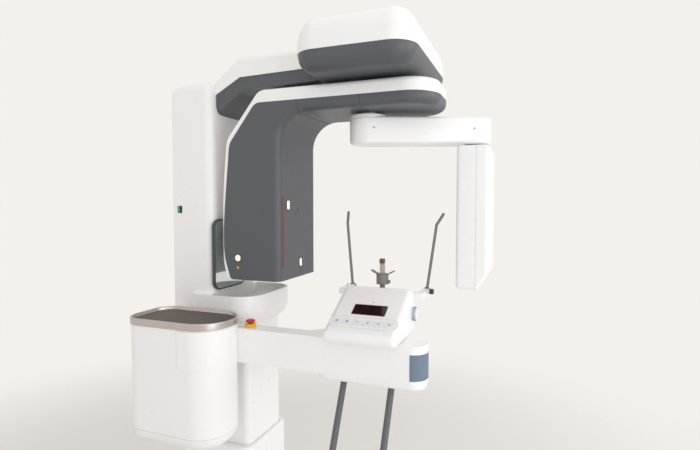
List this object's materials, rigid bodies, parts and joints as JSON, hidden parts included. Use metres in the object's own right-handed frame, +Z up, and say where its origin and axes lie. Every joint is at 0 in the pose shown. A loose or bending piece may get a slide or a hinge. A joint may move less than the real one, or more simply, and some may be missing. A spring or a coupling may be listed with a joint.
{
  "type": "dental cone-beam ct scanner",
  "caption": "Wall and floor mounted dental scanner: lifting column, overhead head with a rotating C-arm, patient beam with chin rest and control box, side cabinet with tray.",
  "frame": {"origin": "on the floor, in the middle of the four floor anchor holes under the mast", "axes": "+Z up, +Y towards the wall, -Y towards the front end of the machine, +X towards the side where the patient stands"},
  "size_m": [0.684, 1.1648, 2.002],
  "materials": {
    "cover_white": "satin moulded cover, warm white",
    "shell_grey": "satin dark grey cover",
    "steel_dark": "painted steel",
    "steel_plain": "machined steel",
    "mast_alu": "anodised extrusion",
    "frame_grey": "grey painted steel",
    "motor_black": "black painted metal",
    "belt_rubber": "toothed belt, drawn plain",
    "mirror_edge": "dark rim",
    "mirror": "silvered glass",
    "tube_metal": "cast housing",
    "port_glass": "clear port insert",
    "ring_blue": "blue-grey ring",
    "inset_blue": "blue-grey soft inset",
    "detector_black": "detector block",
    "tray_steel": "brushed tray",
    "mat_black": "black mat",
    "stop_yellow": "yellow base",
    "stop_red": "red mushroom button",
    "grip_grey": "soft dark grip",
    "plate_white": "key plate",
    "display_dark": "dark display window",
    "key_grey": "keys",
    "dial_grey": "light grey dial",
    "rod_grey": "dark grey rods",
    "bite_beige": "beige bite block"
  },
  "bodies": {
    "base": {"base_plate": "steel_dark", "plinth_sleeve": "cover_white", "mast": "mast_alu", "mast_rails": "steel_plain", "wall_bracket": "steel_dark", "lift_tube": "frame_grey"},
    "carriage": {"lift_rod": "steel_plain", "carriage_frame": "frame_grey", "column_cover": "cover_white", "tower_cover": "cover_white", "bowl_cover": "cover_white", "mirror_frame": "mirror_edge", "mirror_glass": "mirror", "upper_arm_tube": "frame_grey", "upper_arm_cover": "cover_white", "upper_arm_underside": "shell_grey", "head_frame": "frame_grey", "head_top_cover": "cover_white", "head_lower_cover": "shell_grey", "beam_cover": "cover_white", "beam_under_cover": "cover_white", "beam_end_inset": "inset_blue", "cabinet": "cover_white", "wrap_panel": "cover_white", "tray": "tray_steel", "tray_mat": "mat_black", "stop_base": "stop_yellow", "hand_grips": "grip_grey", "control_box": "cover_white", "button_plate": "plate_white", "display_window": "display_dark", "temple_bracket": "cover_white", "chin_socket": "cover_white"},
    "cross": {"cross_stage": "steel_plain"},
    "long": {"long_stage": "steel_plain", "drive_motor": "motor_black", "drive_belt": "belt_rubber"},
    "pulley": {"drive_pulley": "steel_plain"},
    "rotor": {"rotor_hub": "steel_plain", "swing_pin": "steel_plain", "arm_top_cover": "cover_white", "source_shell": "shell_grey", "xray_tube": "tube_metal", "source_windows": "port_glass"},
    "swing": {"sensor_arm": "cover_white", "gap_ring": "ring_blue"},
    "sensor": {"sensor_housing": "cover_white", "detector_panel": "detector_black"},
    "stop": {"stop_button": "stop_red"},
    "dial": {"temple_dial": "dial_grey"},
    "temple_left": {"temple_rod_left": "rod_grey"},
    "temple_right": {"temple_rod_right": "rod_grey"},
    "chin": {"chin_post": "rod_grey", "bite_block": "bite_beige"},
    "button_1": {"control_button_1": "key_grey"},
    "button_2": {"control_button_2": "key_grey"},
    "button_3": {"control_button_3": "key_grey"},
    "button_4": {"control_button_4": "key_grey"},
    "button_5": {"control_button_5": "key_grey"},
    "button_6": {"control_button_6": "key_grey"}
  },
  "joints": [
    {"name": "column_lift", "type": "slide", "parent": "base", "child": "carriage", "axis": [0, 0, 1], "range_m": [-0.05, 0.4]},
    {"name": "cross_slide", "type": "slide", "parent": "carriage", "child": "cross", "axis": [1, 0, 0], "range_m": [-0.03, 0.03]},
    {"name": "long_slide", "type": "slide", "parent": "cross", "child": "long", "axis": [0, 1, 0], "range_m": [-0.04, 0.005]},
    {"name": "carm_turn", "type": "hinge", "parent": "long", "child": "rotor", "pos_m": [0, -0.642, 1.83], "axis": [0, 0, 1], "range_deg": [-185, 185]},
    {"name": "pulley_spin", "type": "hinge", "parent": "long", "child": "pulley", "pos_m": [0.125, -0.642, 1.856], "axis": [0, 0, 1], "range_deg": [-685, 685]},
    {"name": "sensor_arm_swing", "type": "hinge", "parent": "rotor", "child": "swing", "pos_m": [0, -0.58, 1.737], "axis": [0, 0, 1], "range_deg": [-21, 30]},
    {"name": "sensor_turn", "type": "hinge", "parent": "swing", "child": "sensor", "pos_m": [0.13797, -0.93943, 1.625], "axis": [0, 0, 1], "range_deg": [-30, 21]},
    {"name": "temple_left_swing", "type": "hinge", "parent": "carriage", "child": "temple_left", "pos_m": [0.05, -0.502, 1.122], "axis": [1, 0, 0], "range_deg": [-8, 10]},
    {"name": "temple_right_swing", "type": "hinge", "parent": "carriage", "child": "temple_right", "pos_m": [0.05, -0.782, 1.122], "axis": [1, 0, 0], "range_deg": [-10, 8]},
    {"name": "dial_turn", "type": "hinge", "parent": "carriage", "child": "dial", "pos_m": [-0.09, -0.766, 1.068], "axis": [0, 1, 0], "range_deg": [-100, 80]},
    {"name": "chin_height", "type": "slide", "parent": "carriage", "child": "chin", "axis": [0, 0, 1], "range_m": [0, 0.04]},
    {"name": "stop_press", "type": "slide", "parent": "carriage", "child": "stop", "axis": [0, 0, -1], "range_m": [0, 0.003], "stiffness_N_per_m": 1500, "springref_m": -0.001},
    {"name": "button_1_press", "type": "slide", "parent": "carriage", "child": "button_1", "axis": [0.4817, 0, -0.8763], "range_m": [0, 0.0012], "stiffness_N_per_m": 900, "springref_m": -0.0006},
    {"name": "button_2_press", "type": "slide", "parent": "carriage", "child": "button_2", "axis": [0.4817, 0, -0.8763], "range_m": [0, 0.0012], "stiffness_N_per_m": 900, "springref_m": -0.0006},
    {"name": "button_3_press", "type": "slide", "parent": "carriage", "child": "button_3", "axis": [0.4817, 0, -0.8763], "range_m": [0, 0.0012], "stiffness_N_per_m": 900, "springref_m": -0.0006},
    {"name": "button_4_press", "type": "slide", "parent": "carriage", "child": "button_4", "axis": [0.4817, 0, -0.8763], "range_m": [0, 0.0012], "stiffness_N_per_m": 900, "springref_m": -0.0006},
    {"name": "button_5_press", "type": "slide", "parent": "carriage", "child": "button_5", "axis": [0.4817, 0, -0.8763], "range_m": [0, 0.0012], "stiffness_N_per_m": 900, "springref_m": -0.0006},
    {"name": "button_6_press", "type": "slide", "parent": "carriage", "child": "button_6", "axis": [0.4817, 0, -0.8763], "range_m": [0, 0.0012], "stiffness_N_per_m": 900, "springref_m": -0.0006}
  ],
  "couplings": [
    {"joint": "pulley_spin", "follows": "carm_turn", "ratio": 3.6667},
    {"joint": "sensor_turn", "follows": "sensor_arm_swing", "ratio": -1},
    {"joint": "temple_right_swing", "follows": "temple_left_swing", "ratio": -1},
    {"joint": "dial_turn", "follows": "temple_left_swing", "ratio": -10}
  ]
}
